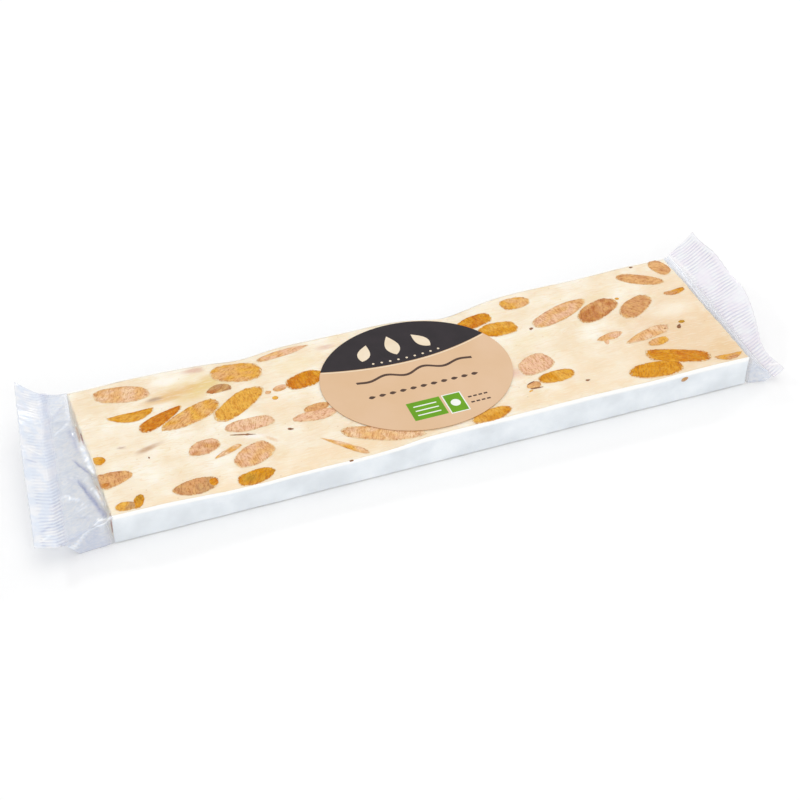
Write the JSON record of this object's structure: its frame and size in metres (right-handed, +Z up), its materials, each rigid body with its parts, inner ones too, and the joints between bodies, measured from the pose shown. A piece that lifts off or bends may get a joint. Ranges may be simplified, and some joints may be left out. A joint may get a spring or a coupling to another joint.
{
  "type": "wrapped nougat bar",
  "caption": "Flat nougat slab with almonds in a clear film pack with ribbed end seals and an oval paper label on top.",
  "frame": {"origin": "on the table under the middle of the whole pack", "axes": "+X along the bar towards its right end seal, +Y from the front long side to the back, +Z up out of the labelled face"},
  "size_m": [0.2678, 0.0713, 0.017],
  "materials": {
    "nougat": "matt cream nougat",
    "almond": "cut toasted almond",
    "wafer": "thin white rice paper",
    "film": "clear glossy film",
    "label_paper": "coated paper"
  },
  "bodies": {
    "root": {"wrapped_bar": "nougat", "label": "label_paper"}
  },
  "joints": []
}
